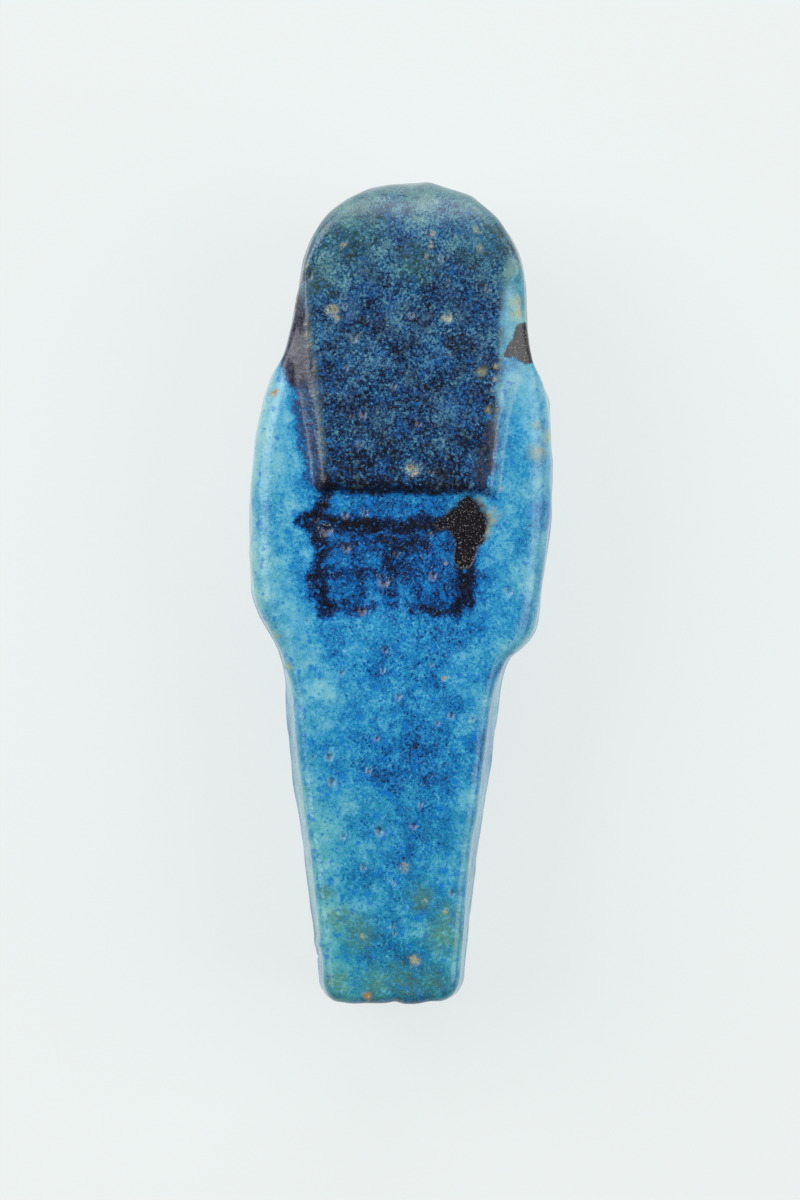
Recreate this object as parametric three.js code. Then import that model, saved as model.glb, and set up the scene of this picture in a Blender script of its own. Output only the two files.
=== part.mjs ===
// An ushabti: a small mummy-shaped funerary figure of glazed faience, pressed in an open mould as one solid.
// It lies on its front, on its toes and fists. Millimetres. +Y runs from the soles to the crown, +X is to the
// right of someone who looks down on the back, and +Z is up, out of the flat of the back.
// The shape is worked out in the figure's own terms: u across, v up from the soles, w forward from the flat
// of the back. The front has no undercuts, so it is one depth, w, for each u and v.
import * as THREE from "three";

// Driving dimensions.
const HEIGHT = 105; // soles to crown
const WIDTH = 38.7; // across both upper arms
const DEPTH = 25; // flat of the back to the plane that the toes and the fists touch
const WIG_STEP = 1.1; // the wig's back panel above the flat of the back
const WIG_STEP_LENGTH = 1.3; // slope at the panel's lower edge
const LAPPET_STEP = 1.5; // the wig's front lappets above the chest
const CARVED_EDGE = 1; // slope along the edges of the lappets and of the face's opening
const LEG_EDGE_RADIUS = 1.5; // edge of the back along the legs
const ARM_EDGE_RADIUS = 3.2; // edge of the back along the arms
const WIG_EDGE_RADIUS = 0.9; // edge of the back along the wig
const CROWN_EDGE_RADIUS = 2; // edge of the back over the crown
const SOLE_EDGE_RADIUS = 1.6; // edge of the sole, front and back
const HEEL_CORNER = [2, 3.4]; // rounding of the outline's two lower corners, left and right
const NOSE_CLEARANCE = 0.5; // the nose stays this far short of the plane that the fists touch

const LEFT = 0;
const RIGHT = 1;
const { clamp, lerp, smoothstep } = THREE.MathUtils;

// A smooth curve through [place, value] pairs that never swings past them.
function through(pairs) {
  const steps = pairs.slice(1).map(([x, y], i) => (y - pairs[i][1]) / (x - pairs[i][0]));
  const slopes = pairs.map((_, i) => {
    if (i === 0) return steps[0];
    if (i === steps.length) return steps[i - 1];
    const product = steps[i - 1] * steps[i];
    return product <= 0 ? 0 : (2 * product) / (steps[i - 1] + steps[i]);
  });
  return (x) => {
    let i = 0;
    while (i < pairs.length - 2 && x > pairs[i + 1][0]) i++;
    const span = pairs[i + 1][0] - pairs[i][0];
    const s = clamp((x - pairs[i][0]) / span, 0, 1);
    const near = (1 - s) * (1 - s);
    const far = s * s;
    return (
      pairs[i][1] * (1 + 2 * s) * near + span * slopes[i] * s * near +
      pairs[i + 1][1] * (3 - 2 * s) * far + span * slopes[i + 1] * (s - 1) * far
    );
  };
}

// Two such curves, for the left and the right, through [place, left, right].
function throughBoth(rows) {
  return [LEFT, RIGHT].map((side) => through(rows.map((row) => [row[0], row[1 + side]])));
}

// The larger of two depths, with a fillet of about the given size where they meet.
function smoothMax(a, b, fillet) {
  const near = Math.max(fillet - Math.abs(a - b), 0) / fillet;
  return Math.max(a, b) + (near * near * fillet) / 4;
}

// A round profile from 1 at the middle to 0 at share 1; a higher power gives a squarer one.
function round(share, power) {
  return Math.pow(Math.max(0, 1 - Math.pow(Math.min(Math.abs(share), 1), power)), 1 / power);
}

// Outline. Heights are shares of HEIGHT, widths to the left and right of the axis are shares of WIDTH.
const CROWN_START = 0.87; // above this the outline is half an ellipse
const WIDEST = 0.613; // the widest place; the two shares there make up the whole WIDTH
const outline = throughBoth([
  [0.0, 0.237, 0.239],
  [0.054, 0.25, 0.248],
  [0.113, 0.275, 0.26],
  [0.172, 0.303, 0.271],
  [0.26, 0.34, 0.298],
  [0.348, 0.37, 0.325],
  [0.392, 0.383, 0.338],
  [0.422, 0.404, 0.363],
  [0.436, 0.424, 0.404],
  [0.451, 0.448, 0.436],
  [0.466, 0.474, 0.451],
  [0.495, 0.502, 0.461],
  [0.554, 0.511, 0.476],
  [WIDEST, 0.515, 0.485],
  [0.672, 0.507, 0.478],
  [0.73, 0.48, 0.471],
  [0.76, 0.453, 0.45],
  [0.789, 0.416, 0.411],
  [0.833, 0.391, 0.39],
  [CROWN_START, 0.38, 0.38],
]);
// The axis stands this far to the right of the middle of the width.
const AXIS_OFFSET = ((outline[LEFT](WIDEST) - outline[RIGHT](WIDEST)) * WIDTH) / 2;

// Side profile: shares of DEPTH, by share of HEIGHT.
const widestDepth = through([[0, 0.33], [0.4, 0.35], [0.6, 0.37], [0.8, 0.41], [1, 0.43]]);
const bodyDepth = through([
  [0, 0.6], [0.1, 0.6], [0.17, 0.64], [0.26, 0.7], [0.36, 0.77], [0.44, 0.815],
  [0.54, 0.85], [0.66, 0.845], [0.72, 0.81], [0.775, 0.72], [0.81, 0.69],
]);
const LAPPET_BOTTOM = 0.69;
const wigDepth = through([
  [LAPPET_BOTTOM, bodyDepth(LAPPET_BOTTOM) + LAPPET_STEP / DEPTH], [0.74, 0.865], [0.79, 0.85],
  [0.85, 0.875], [0.91, 0.91], [0.96, 0.925], [1, 0.925],
]);
const BODY_ROUNDING = 2.4; // power of the front's cross-section
const WIG_ROUNDING = 2.5;
const CROWN_BACK_ROUNDING = 5; // the back stays flat almost to the crown's edge
const CROWN_FRONT_ROUNDING = 2.3;

// Back: the flat's half-width as a share of the outline's.
const backFlat = throughBoth([
  [0, 0.9, 0.9], [0.36, 0.915, 0.91], [0.42, 0.97, 0.965], [0.5, 0.985, 0.985], [0.745, 0.985, 0.985],
  [0.79, 0.955, 0.955], [0.84, 0.95, 0.945], [0.9, 0.965, 0.95], [1, 0.97, 0.96],
]);
// The wig's panel on the back: the half-widths of its ridge and of its foot, as shares of WIDTH. Beside the
// neck the slope between them is wide, and higher up it runs out at the head's edge.
const PANEL_BOTTOM = 0.63; // share of HEIGHT
const PANEL_FREE = 0.9; // share of HEIGHT; above this the panel is the whole back of the head
const panelRidge = throughBoth([
  [PANEL_BOTTOM, 0.262, 0.275],
  [0.69, 0.28, 0.286],
  [0.735, 0.298, 0.296],
  [0.784, 0.318, 0.303],
  [0.84, 0.339, 0.303],
  [0.87, 0.352, 0.306],
  [PANEL_FREE, 0.37, 0.37],
]);
const panelFoot = throughBoth([
  [PANEL_BOTTOM, 0.309, 0.318],
  [0.69, 0.337, 0.332],
  [0.735, 0.365, 0.352],
  [0.784, 0.4, 0.395],
  [0.84, 0.378, 0.375],
  [0.87, 0.376, 0.374],
  [PANEL_FREE, 0.4, 0.4],
]);

// Wig, front: half-widths of the chest and face inside it and of its outer edge, as shares of WIDTH.
// The face's opening closes above OPENING.bottom in a squarish arch.
const OPENING = { bottom: 0.86, top: 0.94, half: 0.172, power: 2.8 };
const wigInside = through([
  [LAPPET_BOTTOM, 0.122], [0.75, 0.112], [0.79, 0.118], [0.812, 0.142], [0.838, 0.163],
  [OPENING.bottom, OPENING.half],
]);
const wigOutside = through([[LAPPET_BOTTOM, 0.285], [0.735, 0.335], [0.784, 0.42], [0.8, 0.5]]);

// Feet: they rise from the shins at FOOT_TOP to full depth at TOE_TOP.
const FOOT_TOP = 0.165;
const TOE_TOP = 0.04;
const FOOT_ROUNDING = 3.4;

// Arms: crossed over the chest, the right one on top, each a low ridge that ends in a fist.
const ELBOW = { u: 0.45, v: 0.512, rise: 1.6, radius: 5 };
const WRIST = { u: -0.1, v: 0.625, rise: 2.4, radius: 3.9 };
const OVER_ARM_RISE = 0.9; // the arm on top lies this much further forward
const FIST = { u: 0.165, v: 0.652, half: [3.9, 4.7], turn: 0.45, top: 0.4, power: 3.2 };
const FIST_FLAT = 0.3; // the fists are worn flat where they touch: this much is gone from their tops
const CARVED_FILLET = 1;

// Face: places and sizes as shares of its own height, measured up from the chin.
const CHIN = 0.797; // share of HEIGHT
const FACE_HEIGHT = 0.146 * HEIGHT;
const FACE_HALF = [0.54, 0.56]; // half-width and half-height of the face's form
const FACE_MIDDLE = 0.53;
const FACE_FRONT = 0.88; // share of DEPTH at the cheeks
const FACE_FALL = 6; // from the cheeks back to the edge of the face's form
const FACE_ROUNDING = 2.4;
const FACE_FORMS = [
  { name: "eye socket", at: [0.2, 0.6], size: [0.15, 0.085], rise: -0.06 },
  { name: "eye", at: [0.205, 0.585], size: [0.105, 0.045], rise: 0.045 },
  { name: "brow", at: [0.2, 0.71], size: [0.17, 0.035], rise: 0.026 },
  { name: "cheek", at: [0.24, 0.38], size: [0.13, 0.13], rise: 0.024 },
  { name: "mouth", at: [0, 0.24], size: [0.2, 0.1], rise: 0.02 },
  { name: "upper lip", at: [0, 0.268], size: [0.13, 0.026], rise: 0.026 },
  { name: "lower lip", at: [0, 0.205], size: [0.1, 0.03], rise: 0.028 },
  { name: "chin", at: [0, 0.07], size: [0.13, 0.07], rise: 0.035 },
];
const NOSE = { top: 0.78, bridge: 0.7, tip: 0.375, base: 0.325, halfWidth: [0.055, 0.095], bridgeRise: 0.35 };
const EAR = { u: 0.212, v: 0.862, half: [1.3, 2.5], rise: 1.1 };

// Half the figure's width at height v, to one side.
function halfWidth(side, v) {
  const t = v / HEIGHT;
  const corner = HEEL_CORNER[side];
  const inset = v < corner ? corner - Math.sqrt(corner * corner - (corner - v) ** 2) : 0;
  const dome = round(Math.max(0, t - CROWN_START) / (1 - CROWN_START), 2);
  return (WIDTH * outline[side](Math.min(t, CROWN_START)) - inset) * dome;
}

// How far the rounded edge of the sole draws the front and the back in.
function soleInset(v) {
  if (v >= SOLE_EDGE_RADIUS) return 0;
  return SOLE_EDGE_RADIUS - Math.sqrt(SOLE_EDGE_RADIUS ** 2 - (SOLE_EDGE_RADIUS - v) ** 2);
}

function crownShrink(v, power) {
  return round(Math.max(0, v / HEIGHT - CROWN_START) / (1 - CROWN_START), power);
}

// The wig's panel on the back: 1 on it, 0 off it, and a slope between.
function panelShare(side, u, v) {
  const t = v / HEIGHT;
  if (t >= PANEL_FREE) return 1;
  const across = 1 - smoothstep(u, WIDTH * panelRidge[side](t), WIDTH * panelFoot[side](t));
  return across * smoothstep(v, PANEL_BOTTOM * HEIGHT - WIG_STEP_LENGTH, PANEL_BOTTOM * HEIGHT);
}

// How far an arm stands out of the trunk over the point (u, v); sign is the side that its elbow is on.
function armRise(u, v, sign, over) {
  const elbow = new THREE.Vector2(sign * ELBOW.u * WIDTH, ELBOW.v * HEIGHT);
  const along = new THREE.Vector2(sign * WRIST.u * WIDTH, WRIST.v * HEIGHT).sub(elbow);
  const out = new THREE.Vector2(u, v).sub(elbow);
  const s = clamp(out.dot(along) / along.lengthSq(), 0, 1);
  const away = out.addScaledVector(along, -s).length();
  const rise = lerp(ELBOW.rise, WRIST.rise, s) + over;
  return rise * (1 - smoothstep(away / lerp(ELBOW.radius, WRIST.radius, s), 0, 1));
}

// A fist: a block with rounded edges, squarer the higher FIST.power is, that rises to the plane it touches.
function fistFront(u, v, sign, trunk) {
  const [cos, sin] = [Math.cos(FIST.turn), sign * Math.sin(FIST.turn)];
  const du = u - sign * FIST.u * WIDTH;
  const dv = v - FIST.v * HEIGHT;
  const across = Math.abs(cos * du + sin * dv) / FIST.half[0];
  const along = Math.abs(cos * dv - sin * du) / FIST.half[1];
  const away = Math.pow(Math.pow(across, FIST.power) + Math.pow(along, FIST.power), 1 / FIST.power);
  return Math.min(DEPTH, lerp(trunk, DEPTH + FIST_FLAT, 1 - smoothstep(away, FIST.top, 1)));
}

// The body below the wig: the wrapped trunk and legs, the feet, the crossed arms and the fists.
function bodyFront(u, v, share) {
  const t = v / HEIGHT;
  const widest = widestDepth(t) * DEPTH;
  const trunk = lerp(widest, bodyDepth(t) * DEPTH, round(share, BODY_ROUNDING));
  const foot = 1 - smoothstep(t, TOE_TOP, FOOT_TOP);
  const legs = trunk + foot * (1 - bodyDepth(t)) * DEPTH * round(share, FOOT_ROUNDING);
  const arms = Math.max(armRise(u, v, -1, 0), armRise(u, v, 1, OVER_ARM_RISE));
  const body = legs + arms * (1 - Math.pow(share, 6));
  const fists = Math.max(fistFront(u, v, -1, legs), fistFront(u, v, 1, legs));
  return fists > legs ? smoothMax(body, fists, CARVED_FILLET) : body;
}

// A bell-shaped rise on the face, mirrored to both sides, in shares of the face's height.
function bell(x, y, form) {
  const across = (Math.abs(x) - form.at[0]) / form.size[0];
  const up = (y - form.at[1]) / form.size[1];
  return form.rise * Math.exp(-across * across - up * up);
}

// The nose: a wedge that widens and rises from the bridge to the tip, and drops to the lip.
function noseRise(x, y) {
  const down = clamp((NOSE.bridge - y) / (NOSE.bridge - NOSE.tip), 0, 1);
  const under = smoothstep(y, NOSE.base, NOSE.tip);
  const top = 1 - smoothstep(y, 2 * NOSE.bridge - NOSE.top, NOSE.top);
  const width = lerp(NOSE.halfWidth[0], NOSE.halfWidth[1], down * down);
  return lerp(NOSE.bridgeRise, 1, down) * under * top * Math.exp(-((x / width) ** 2));
}

function faceFront(u, v) {
  const x = u / FACE_HEIGHT;
  const y = (v - CHIN * HEIGHT) / FACE_HEIGHT;
  const form = round(Math.hypot(x / FACE_HALF[0], (y - FACE_MIDDLE) / FACE_HALF[1]), FACE_ROUNDING);
  if (form <= 0) return -Infinity;
  const cheeks = FACE_FRONT * DEPTH;
  const relief = FACE_FORMS.reduce((sum, f) => sum + bell(x, y, f), 0) * FACE_HEIGHT;
  return cheeks - FACE_FALL * (1 - form) + relief + (DEPTH - NOSE_CLEARANCE - cheeks) * noseRise(x, y);
}

// The wig's front: round the head and down in two lappets, with the ears on it.
function wigFront(u, v, share) {
  const t = v / HEIGHT;
  const out = round(share, WIG_ROUNDING) * crownShrink(v, CROWN_FRONT_ROUNDING);
  const across = (Math.abs(u) - EAR.u * WIDTH) / EAR.half[0];
  const up = (v - EAR.v * HEIGHT) / EAR.half[1];
  const ear = EAR.rise * Math.exp(-Math.pow(across * across + up * up, 2));
  return lerp(widestDepth(t), wigDepth(t), out) * DEPTH + ear;
}

// Half-width of the opening between the lappets and round the face, narrowing to nothing at its top.
function openingHalf(t) {
  const up = Math.max(0, t - OPENING.bottom) / (OPENING.top - OPENING.bottom);
  return WIDTH * wigInside(t) * round(up, OPENING.power);
}

// How far out of the opening a point is: 1 on its edge.
function openingShare(u, t) {
  const side = Math.abs(u) / (WIDTH * wigInside(t));
  const up = Math.max(0, t - OPENING.bottom) / (OPENING.top - OPENING.bottom);
  return Math.pow(Math.pow(side, OPENING.power) + Math.pow(up, OPENING.power), 1 / OPENING.power);
}

// Depth of the front at (u, v); share is how far out u is, from 0 at the axis to 1 at the outline.
function frontDepth(u, v, share) {
  const t = v / HEIGHT;
  const body = bodyFront(u, v, share);
  if (t < LAPPET_BOTTOM) return body - soleInset(v);
  const edge = CARVED_EDGE / (2 * OPENING.half * WIDTH);
  const inner = smoothstep(openingShare(u, t), 1 - edge, 1 + edge);
  const outer = 1 - smoothstep(Math.abs(u), WIDTH * wigOutside(t) - CARVED_EDGE, WIDTH * wigOutside(t));
  const lower = smoothstep(v, LAPPET_BOTTOM * HEIGHT, LAPPET_BOTTOM * HEIGHT + CARVED_EDGE);
  const inside = smoothMax(body, faceFront(u, v), CARVED_FILLET);
  return lerp(inside, wigFront(u, v, share), inner * outer * lower);
}

// Radius of the edge between the back and the sides.
const edgeRadius = through([
  [0, LEG_EDGE_RADIUS], [0.38, LEG_EDGE_RADIUS], [0.48, ARM_EDGE_RADIUS], [0.74, ARM_EDGE_RADIUS],
  [0.785, WIG_EDGE_RADIUS], [0.88, WIG_EDGE_RADIUS], [0.95, CROWN_EDGE_RADIUS], [1, CROWN_EDGE_RADIUS],
]);

// Mesh: how many pieces each part of a ring has, on each side. The front's points follow the wig's edges.
const ARC_PIECES = 3;
const SIDE_PIECES = 2;
const INNER_PIECES = 6;
const LAPPET_PIECES = 5;
const OUTER_PIECES = 5;
const INNER_CROWDING = 1.15; // above 1, the points between the wig's edges crowd towards the middle
// The back's columns follow the panel's ridge and foot up to these shares of the flat's half-width.
const RIDGE_REACH = 0.96;
const FOOT_REACH = 0.98;
// The front's columns follow the wig's inner and outer edges within these shares of the half-width.
const NARROWEST_OPENING = 0.1; // share of WIDTH, kept where the opening has closed
const INNER_REACH = 0.45;
const BODY_REACH = 0.75; // below the lappets
const WIG_REACH = 0.9;
const EDGE_REACH = 0.1; // the slope along a carved edge takes up this share at most
const OPENING_EDGE = CARVED_EDGE / 2 / HEIGHT;
const BANDS = [
  // share of HEIGHT at the band's lower end, and how many rings it has
  [0, 2],
  [0.008, 2],
  [0.02, 2],
  [TOE_TOP, 9],
  [FOOT_TOP, 7],
  [0.4, 6],
  [0.48, 12],
  [WIDEST, 1],
  [PANEL_BOTTOM - WIG_STEP_LENGTH / HEIGHT, 2],
  [PANEL_BOTTOM, 8],
  [LAPPET_BOTTOM, 3],
  [LAPPET_BOTTOM + CARVED_EDGE / HEIGHT, 6],
  [0.79, 10],
  [OPENING.bottom, 10],
  [OPENING.top - OPENING_EDGE, 3],
  [OPENING.top + OPENING_EDGE, 1],
];
const CROWN_RINGS = 8;

// Places across the front at height v, from the outline to the middle.
function frontPlaces(half, t) {
  const edge = Math.min(CARVED_EDGE, EDGE_REACH * half) / 2;
  const inner = Math.min(Math.max(openingHalf(t), NARROWEST_OPENING * WIDTH), INNER_REACH * half);
  const outer = Math.min(WIDTH * wigOutside(t) - edge, (t < LAPPET_BOTTOM ? BODY_REACH : WIG_REACH) * half);
  const places = [];
  for (let i = OUTER_PIECES - 1; i >= 0; i--) {
    places.push(lerp(outer + edge, half, Math.sin((Math.PI / 2) * (i / OUTER_PIECES))));
  }
  for (let i = LAPPET_PIECES; i >= 0; i--) places.push(lerp(inner + edge, outer - edge, i / LAPPET_PIECES));
  for (let i = INNER_PIECES; i >= 0; i--) {
    places.push((inner - edge) * Math.pow(i / INNER_PIECES, INNER_CROWDING));
  }
  return places;
}

// One side of a ring at height v: [u, w] from the middle of the back, round the side, to the front's middle.
function sidePoints(side, v) {
  const t = v / HEIGHT;
  const half = halfWidth(side, v);
  const widest = widestDepth(t) * DEPTH;
  const level = widest * (1 - crownShrink(v, CROWN_BACK_ROUNDING)) + soleInset(v);
  const flat = half * backFlat[side](t);
  const radius = Math.min(edgeRadius(t), flat / 2, Math.max(widest - level, 0) / 2);
  const start = flat - radius;
  const ridge = Math.min(WIDTH * panelRidge[side](Math.max(t, PANEL_BOTTOM)), RIDGE_REACH * start);
  const foot = Math.min(WIDTH * panelFoot[side](Math.max(t, PANEL_BOTTOM)), FOOT_REACH * start);
  const back = [0, ridge, foot, start].map((u) => [u, level]);

  const sideLength = Math.hypot(half - flat, widest - level);
  const end = sideLength > 0 ? radius / sideLength : 0;
  const sideEnd = [lerp(flat, half, end), lerp(level, widest, end)];
  for (let i = 1; i <= ARC_PIECES; i++) {
    const s = i / ARC_PIECES;
    const [p, q, r] = [(1 - s) ** 2, 2 * s * (1 - s), s * s];
    back.push([p * start + q * flat + r * sideEnd[0], (p + q) * level + r * sideEnd[1]]);
  }
  for (let i = 1; i <= SIDE_PIECES; i++) {
    const s = i / SIDE_PIECES;
    back.push([lerp(sideEnd[0], half, s), lerp(sideEnd[1], widest, s)]);
  }
  const raised = back.map(([u, w]) => {
    const onSide = widest > level ? (w - level) / (widest - level) : 1;
    const shrink = crownShrink(v, CROWN_BACK_ROUNDING);
    return [u, w - WIG_STEP * panelShare(side, u, v) * (1 - onSide) * shrink];
  });
  const sign = side === RIGHT ? 1 : -1;
  const front = frontPlaces(half, t).map((u) => [u, frontDepth(sign * u, v, u / half)]);
  return [...raised, ...front].map(([u, w]) => [sign * u, w]);
}

// A whole ring, anticlockwise as seen from the soles.
function ring(v) {
  const right = sidePoints(RIGHT, v);
  const left = sidePoints(LEFT, v).slice(1, -1).reverse();
  return [...right, ...left];
}

// Heights of the rings, from the sole to the last one below the crown's tip.
function ringHeights() {
  const heights = [];
  for (let i = 0; i + 1 < BANDS.length; i++) {
    const [low, count] = BANDS[i];
    for (let k = 0; k < count; k++) heights.push(lerp(low, BANDS[i + 1][0], k / count) * HEIGHT);
  }
  const first = Math.asin((BANDS.at(-1)[0] - CROWN_START) / (1 - CROWN_START));
  for (let k = 0; k < CROWN_RINGS; k++) {
    const angle = lerp(first, Math.PI / 2, k / CROWN_RINGS);
    heights.push((CROWN_START + (1 - CROWN_START) * Math.sin(angle)) * HEIGHT);
  }
  return heights;
}

function figureGeometry() {
  const heights = ringHeights();
  const rings = heights.map(ring);
  const around = rings[0].length;
  const positions = [];
  const place = (u, v, w) => positions.push(u + AXIS_OFFSET, v - HEIGHT / 2, DEPTH - w);
  rings.forEach((points, i) => points.forEach(([u, w]) => place(u, heights[i], w)));
  const sole = rings[0].reduce((sum, [u, w]) => [sum[0] + u / around, sum[1] + w / around], [0, 0]);
  place(sole[0], 0, sole[1]);
  place(0, HEIGHT, widestDepth(1) * DEPTH);
  const soleCentre = rings.length * around;
  const crownTip = soleCentre + 1;
  const last = (rings.length - 1) * around;
  const triangles = [];
  for (let j = 0; j < around; j++) {
    const next = (j + 1) % around;
    triangles.push(soleCentre, next, j, crownTip, last + j, last + next);
    for (let i = 0; i + 1 < rings.length; i++) {
      const [a, b] = [i * around + j, i * around + next];
      const [c, d] = [b + around, a + around];
      const rising = Math.abs(rings[i][j][1] - rings[i + 1][next][1]);
      const falling = Math.abs(rings[i][next][1] - rings[i + 1][j][1]);
      if (rising <= falling) triangles.push(a, b, c, a, c, d);
      else triangles.push(a, b, d, b, c, d);
    }
  }
  const geometry = new THREE.BufferGeometry();
  geometry.setAttribute("position", new THREE.Float32BufferAttribute(positions, 3));
  geometry.setIndex(triangles);
  geometry.computeVertexNormals();
  return geometry;
}

const faience = new THREE.MeshStandardMaterial({ color: 0x2a86bd, roughness: 0.35, metalness: 0 });
const figure = new THREE.Mesh(figureGeometry(), faience);
figure.name = "ushabti_figure";

const ushabti = new THREE.Group();
ushabti.add(figure);
export default ushabti;
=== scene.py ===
import math

import bpy
import numpy as np
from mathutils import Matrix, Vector


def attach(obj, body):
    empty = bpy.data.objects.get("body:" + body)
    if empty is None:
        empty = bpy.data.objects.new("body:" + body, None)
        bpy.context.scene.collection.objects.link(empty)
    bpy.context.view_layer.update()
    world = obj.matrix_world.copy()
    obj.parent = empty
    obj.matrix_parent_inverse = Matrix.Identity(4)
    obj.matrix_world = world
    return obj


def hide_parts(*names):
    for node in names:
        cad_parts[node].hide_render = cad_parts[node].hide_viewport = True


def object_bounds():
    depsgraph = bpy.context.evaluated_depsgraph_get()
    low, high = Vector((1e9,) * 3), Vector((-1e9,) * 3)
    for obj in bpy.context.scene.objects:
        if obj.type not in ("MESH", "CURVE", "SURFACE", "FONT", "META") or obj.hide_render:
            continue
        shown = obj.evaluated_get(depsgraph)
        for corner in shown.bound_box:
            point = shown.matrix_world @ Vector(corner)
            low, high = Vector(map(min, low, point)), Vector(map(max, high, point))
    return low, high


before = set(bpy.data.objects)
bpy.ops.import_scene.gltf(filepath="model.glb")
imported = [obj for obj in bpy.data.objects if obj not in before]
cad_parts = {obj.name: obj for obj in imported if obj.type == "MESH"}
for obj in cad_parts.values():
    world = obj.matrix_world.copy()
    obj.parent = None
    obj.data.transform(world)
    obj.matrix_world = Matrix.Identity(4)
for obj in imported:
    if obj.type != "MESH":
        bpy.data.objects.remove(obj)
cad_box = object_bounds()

MM = 0.001
TINY = 1e-9  # keeps a division clear of zero
LEFT, RIGHT = -1, 1
LOW, HIGH = (np.array(corner) / MM for corner in cad_box)
WIG_STEP = 1.1  # the wig's back panel above the flat of the back
WIDTH = HIGH[0] - LOW[0]
HEIGHT = HIGH[1] - LOW[1]
DEPTH = HIGH[2] - LOW[2] - WIG_STEP
WIG_STEP_LENGTH = 1.3
LAPPET_STEP = 1.5
CARVED_EDGE = 1
LEG_EDGE_RADIUS = 1.5
ARM_EDGE_RADIUS = 3.2
WIG_EDGE_RADIUS = 1.1
CROWN_EDGE_RADIUS = 2
SOLE_EDGE_RADIUS = 1.6
HEEL_CORNER = {LEFT: 2, RIGHT: 3.4}
NOSE_CLEARANCE = 0.5


def clamp(x):
    return np.clip(x, 0, 1)


def lerp(a, b, s):
    return a + (b - a) * s


def step(x, low, high):
    """0 below low, 1 above high, and smooth between."""
    s = clamp((x - low) / (high - low))
    return s * s * (3 - 2 * s)


def bell(distance, radius):
    """1 at no distance, and nearly 0 from twice the radius on."""
    return np.exp(-((distance / radius) ** 2))


def rounded(share, power):
    """A round profile from 1 at the middle to 0 at share 1; a higher power gives a squarer one."""
    return np.maximum(0, 1 - np.minimum(np.abs(share), 1) ** power) ** (1 / power)


def smooth_max(a, b, fillet):
    """The greater of two, with a fillet where they meet."""
    near = np.maximum(fillet - np.abs(a - b), 0) / fillet
    return np.maximum(a, b) + near * near * fillet / 4


def through(pairs):
    """A smooth curve through (place, value) pairs that never swings past them."""
    x, y = (np.array(column, float) for column in zip(*pairs))
    steps = np.diff(y) / np.diff(x)
    inner = [0 if a * b <= 0 else 2 * a * b / (a + b) for a, b in zip(steps[:-1], steps[1:])]
    slopes = np.array([steps[0], *inner, steps[-1]])

    def at(places):
        places = np.asarray(places, float)
        i = np.clip(np.searchsorted(x, places) - 1, 0, len(x) - 2)
        span = x[i + 1] - x[i]
        s = clamp((places - x[i]) / span)
        near, far = (1 - s) ** 2, s * s
        return (
            y[i] * (1 + 2 * s) * near + span * slopes[i] * s * near
            + y[i + 1] * (3 - 2 * s) * far + span * slopes[i + 1] * (s - 1) * far
        )

    return at


def through_both(rows):
    """Two such curves, for the left and the right, through (place, left, right)."""
    left, right = (through([(row[0], row[k]) for row in rows]) for k in (1, 2))
    return lambda side, t: right(t) if side == RIGHT else left(t)


# Outline and depths: shares of WIDTH and DEPTH, by share of HEIGHT. They are the solid's, and only the edge
# of the wig's sides is a little fuller.
CROWN_START = 0.87
WIDEST = 0.613
outline = through_both([
    (0.0, 0.237, 0.239),
    (0.054, 0.25, 0.248),
    (0.113, 0.275, 0.26),
    (0.172, 0.303, 0.271),
    (0.26, 0.34, 0.298),
    (0.348, 0.37, 0.325),
    (0.392, 0.383, 0.338),
    (0.422, 0.404, 0.363),
    (0.436, 0.424, 0.404),
    (0.451, 0.448, 0.436),
    (0.466, 0.474, 0.451),
    (0.495, 0.502, 0.461),
    (0.554, 0.511, 0.476),
    (WIDEST, 0.515, 0.485),
    (0.672, 0.507, 0.478),
    (0.73, 0.48, 0.471),
    (0.76, 0.453, 0.45),
    (0.789, 0.416, 0.411),
    (0.833, 0.391, 0.39),
    (CROWN_START, 0.38, 0.38),
])
AXIS_OFFSET = float(outline(LEFT, WIDEST) - outline(RIGHT, WIDEST)) * WIDTH / 2
widest_depth = through([(0, 0.33), (0.4, 0.35), (0.6, 0.37), (0.8, 0.41), (1, 0.43)])
body_depth = through([
    (0, 0.6), (0.1, 0.6), (0.17, 0.64), (0.26, 0.7), (0.36, 0.77), (0.44, 0.815),
    (0.54, 0.85), (0.66, 0.845), (0.72, 0.81), (0.775, 0.72), (0.81, 0.69),
])
LAPPET_BOTTOM = 0.69
wig_depth = through([
    (LAPPET_BOTTOM, float(body_depth(LAPPET_BOTTOM)) + LAPPET_STEP / DEPTH), (0.74, 0.865), (0.79, 0.85),
    (0.85, 0.875), (0.91, 0.91), (0.96, 0.925), (1, 0.925),
])
BODY_ROUNDING = 2.4
WIG_ROUNDING = 2.5
CROWN_OUTLINE_ROUNDING = 2
CROWN_BACK_ROUNDING = 5
CROWN_FRONT_ROUNDING = 2.3
back_flat = through_both([
    (0, 0.9, 0.9), (0.36, 0.915, 0.91), (0.42, 0.97, 0.965), (0.5, 0.985, 0.985), (0.745, 0.985, 0.985),
    (1, 0.985, 0.985),
])
PANEL_BOTTOM = 0.63
PANEL_FREE = 0.9
panel_ridge = through_both([
    (PANEL_BOTTOM, 0.262, 0.275), (0.69, 0.28, 0.286), (0.735, 0.298, 0.296), (0.784, 0.318, 0.303),
    (0.84, 0.339, 0.303), (0.87, 0.352, 0.306), (PANEL_FREE, 0.37, 0.37),
])
panel_foot = through_both([
    (PANEL_BOTTOM, 0.309, 0.318), (0.69, 0.337, 0.332), (0.735, 0.365, 0.352), (0.784, 0.4, 0.395),
    (0.84, 0.378, 0.375), (0.87, 0.376, 0.374), (PANEL_FREE, 0.4, 0.4),
])
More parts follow.
